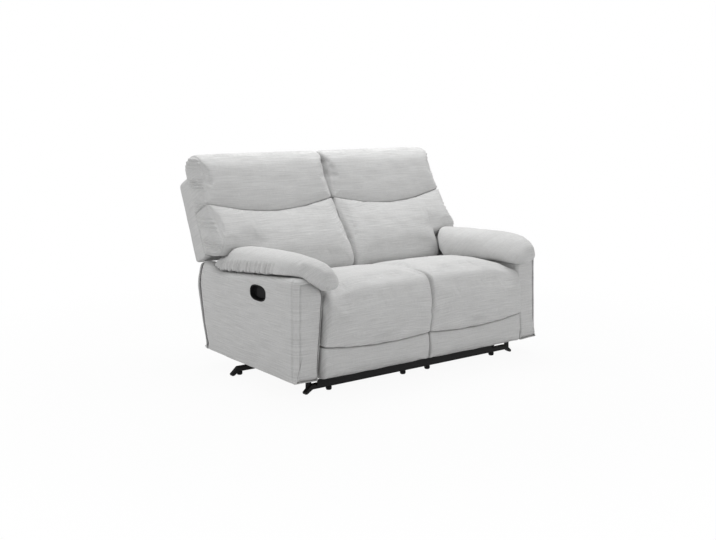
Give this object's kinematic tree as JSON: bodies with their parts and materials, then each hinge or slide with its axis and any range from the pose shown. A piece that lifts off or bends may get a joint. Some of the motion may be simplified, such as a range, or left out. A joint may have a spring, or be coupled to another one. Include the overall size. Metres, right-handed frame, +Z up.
{
  "type": "reclining sofa",
  "caption": "Upholstered loveseat with padded arms, fold-out footrests and tilting backs on a low black steel base.",
  "frame": {"origin": "on the floor under the middle of the sofa's overall box", "axes": "+Z up, +Y towards the back, +X to the right as seen from the front"},
  "size_m": [1.514, 1.1628, 1.0265],
  "materials": {
    "cover_fabric": "woven, matt, light grey",
    "cushion_fabric": "woven, matt, light grey, padded",
    "frame_wood": "raw plywood",
    "black_steel": "satin black",
    "spring_steel": "drawn wire",
    "black_plastic": "moulded black"
  },
  "bodies": {
    "root": {"base_frame": "black_steel", "front_bar": "black_steel", "rear_bar": "black_steel", "rear_apron": "cover_fabric", "glide_front_outer_left": "black_plastic", "glide_front_inner_left": "black_plastic", "glide_side_left": "black_plastic", "glide_rear_left": "black_plastic", "arm_cover_left": "cover_fabric", "arm_front_panel_left": "cover_fabric", "arm_frame_left": "frame_wood", "arm_pillow_left": "cushion_fabric", "handle_bezel_left": "black_plastic", "glide_front_outer_right": "black_plastic", "glide_front_inner_right": "black_plastic", "glide_side_right": "black_plastic", "glide_rear_right": "black_plastic", "arm_cover_right": "cover_fabric", "arm_front_panel_right": "cover_fabric", "arm_frame_right": "frame_wood", "arm_pillow_right": "cushion_fabric", "handle_bezel_right": "black_plastic"},
    "back_left": {"back_bracket_left": "black_steel", "back_frame_left": "frame_wood", "back_shell_left": "cover_fabric", "lumbar_cushion_left": "cushion_fabric", "head_cushion_left": "cushion_fabric"},
    "front_swing_left": {"front_swing_links_left": "black_steel"},
    "rear_swing_left": {"rear_swing_links_left": "black_steel"},
    "seat_left": {"seat_carrier_left": "black_steel", "seat_frame_left": "frame_wood", "seat_springs_left": "spring_steel", "seat_cushion_left": "cushion_fabric"},
    "push_left": {"recline_links_left": "black_steel"},
    "footrest_left": {"footrest_bracket_left": "black_steel", "footrest_board_left": "frame_wood", "chaise_pad_left": "cushion_fabric", "footrest_pad_left": "cushion_fabric"},
    "drive_left": {"drive_links_left": "black_steel"},
    "follower_left": {"follower_links_left": "black_steel"},
    "lever_left": {"release_paddle_left": "black_plastic"},
    "back_right": {"back_bracket_right": "black_steel", "back_frame_right": "frame_wood", "back_shell_right": "cover_fabric", "lumbar_cushion_right": "cushion_fabric", "head_cushion_right": "cushion_fabric"},
    "front_swing_right": {"front_swing_links_right": "black_steel"},
    "rear_swing_right": {"rear_swing_links_right": "black_steel"},
    "seat_right": {"seat_carrier_right": "black_steel", "seat_frame_right": "frame_wood", "seat_springs_right": "spring_steel", "seat_cushion_right": "cushion_fabric"},
    "push_right": {"recline_links_right": "black_steel"},
    "footrest_right": {"footrest_bracket_right": "black_steel", "footrest_board_right": "frame_wood", "chaise_pad_right": "cushion_fabric", "footrest_pad_right": "cushion_fabric"},
    "drive_right": {"drive_links_right": "black_steel"},
    "follower_right": {"follower_links_right": "black_steel"},
    "lever_right": {"release_paddle_right": "black_plastic"}
  },
  "joints": [
    {"name": "recline_left", "type": "hinge", "parent": "root", "child": "back_left", "pos_m": [-0.297, 0.21062, 0.28], "axis": [-1, 0, 0], "range_deg": [0, 25]},
    {"name": "seat_swing_front_left", "type": "hinge", "parent": "root", "child": "front_swing_left", "pos_m": [-0.297, -0.25938, 0.0596], "axis": [1, 0, 0], "range_deg": [0, 14]},
    {"name": "seat_level_left", "type": "hinge", "parent": "front_swing_left", "child": "seat_left", "pos_m": [-0.297, -0.23618, 0.2486], "axis": [1, 0, 0], "range_deg": [-14, 0]},
    {"name": "seat_swing_rear_left", "type": "hinge", "parent": "root", "child": "rear_swing_left", "pos_m": [-0.297, -0.01938, 0.0596], "axis": [1, 0, 0], "range_deg": [0, 14]},
    {"name": "push_link_left", "type": "hinge", "parent": "back_left", "child": "push_left", "pos_m": [-0.297, 0.23382, 0.17532], "axis": [-1, 0, 0], "range_deg": [-25, 0]},
    {"name": "footrest_open_left", "type": "hinge", "parent": "seat_left", "child": "footrest_left", "pos_m": [-0.297, -0.51938, 0.46], "axis": [-1, 0, 0], "range_deg": [0, 90]},
    {"name": "footrest_drive_left", "type": "hinge", "parent": "seat_left", "child": "drive_left", "pos_m": [-0.297, -0.38338, 0.258], "axis": [-1, 0, 0], "range_deg": [0, 90]},
    {"name": "footrest_follower_left", "type": "hinge", "parent": "footrest_left", "child": "follower_left", "pos_m": [-0.297, -0.44431, 0.31], "axis": [-1, 0, 0], "range_deg": [-90, 0]},
    {"name": "release_handle_left", "type": "hinge", "parent": "root", "child": "lever_left", "pos_m": [-0.7305, -0.24988, 0.428], "axis": [0, 0, 1], "range_deg": [0, 30], "stiffness_Nm_per_rad": 1},
    {"name": "recline_right", "type": "hinge", "parent": "root", "child": "back_right", "pos_m": [0.297, 0.21062, 0.28], "axis": [-1, 0, 0], "range_deg": [0, 25]},
    {"name": "seat_swing_front_right", "type": "hinge", "parent": "root", "child": "front_swing_right", "pos_m": [0.297, -0.25938, 0.0596], "axis": [1, 0, 0], "range_deg": [0, 14]},
    {"name": "seat_level_right", "type": "hinge", "parent": "front_swing_right", "child": "seat_right", "pos_m": [0.297, -0.23618, 0.2486], "axis": [1, 0, 0], "range_deg": [-14, 0]},
    {"name": "seat_swing_rear_right", "type": "hinge", "parent": "root", "child": "rear_swing_right", "pos_m": [0.297, -0.01938, 0.0596], "axis": [1, 0, 0], "range_deg": [0, 14]},
    {"name": "push_link_right", "type": "hinge", "parent": "back_right", "child": "push_right", "pos_m": [0.297, 0.23382, 0.17532], "axis": [-1, 0, 0], "range_deg": [-25, 0]},
    {"name": "footrest_open_right", "type": "hinge", "parent": "seat_right", "child": "footrest_right", "pos_m": [0.297, -0.51938, 0.46], "axis": [-1, 0, 0], "range_deg": [0, 90]},
    {"name": "footrest_drive_right", "type": "hinge", "parent": "seat_right", "child": "drive_right", "pos_m": [0.297, -0.38338, 0.258], "axis": [-1, 0, 0], "range_deg": [0, 90]},
    {"name": "footrest_follower_right", "type": "hinge", "parent": "footrest_right", "child": "follower_right", "pos_m": [0.297, -0.44431, 0.31], "axis": [-1, 0, 0], "range_deg": [-90, 0]},
    {"name": "release_handle_right", "type": "hinge", "parent": "root", "child": "lever_right", "pos_m": [0.7305, -0.24988, 0.428], "axis": [0, 0, -1], "range_deg": [0, 30], "stiffness_Nm_per_rad": 1}
  ],
  "couplings": [
    {"joint": "seat_swing_front_left", "follows": "recline_left", "ratio": 0.56},
    {"joint": "seat_level_left", "follows": "recline_left", "ratio": -0.56},
    {"joint": "seat_swing_rear_left", "follows": "recline_left", "ratio": 0.56},
    {"joint": "push_link_left", "follows": "recline_left", "ratio": -1},
    {"joint": "footrest_drive_left", "follows": "footrest_open_left", "ratio": 1},
    {"joint": "footrest_follower_left", "follows": "footrest_open_left", "ratio": -1},
    {"joint": "seat_swing_front_right", "follows": "recline_right", "ratio": 0.56},
    {"joint": "seat_level_right", "follows": "recline_right", "ratio": -0.56},
    {"joint": "seat_swing_rear_right", "follows": "recline_right", "ratio": 0.56},
    {"joint": "push_link_right", "follows": "recline_right", "ratio": -1},
    {"joint": "footrest_drive_right", "follows": "footrest_open_right", "ratio": 1},
    {"joint": "footrest_follower_right", "follows": "footrest_open_right", "ratio": -1}
  ]
}
